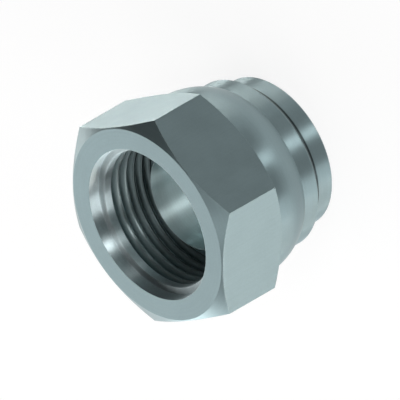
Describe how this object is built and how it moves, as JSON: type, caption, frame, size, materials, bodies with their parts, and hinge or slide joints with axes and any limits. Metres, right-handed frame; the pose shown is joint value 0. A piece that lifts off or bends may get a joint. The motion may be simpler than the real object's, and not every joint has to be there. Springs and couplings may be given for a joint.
{
  "type": "threaded socket coupling",
  "caption": "Turned steel coupling: a wrench hexagon with an internal pipe thread and hollow nose, stepping down over a domed shoulder and collar to a plain spigot with a through bore.",
  "frame": {"origin": "centre of the spigot's end face, on the thread axis", "axes": "+Z along the thread axis, out of the threaded mouth; two hexagon corners on the X axis"},
  "size_m": [0.0392, 0.034, 0.029],
  "materials": {
    "plated_steel": "turned and plated steel, satin, slightly blue-grey"
  },
  "bodies": {
    "root": {"coupling_body": "plated_steel"}
  },
  "joints": []
}
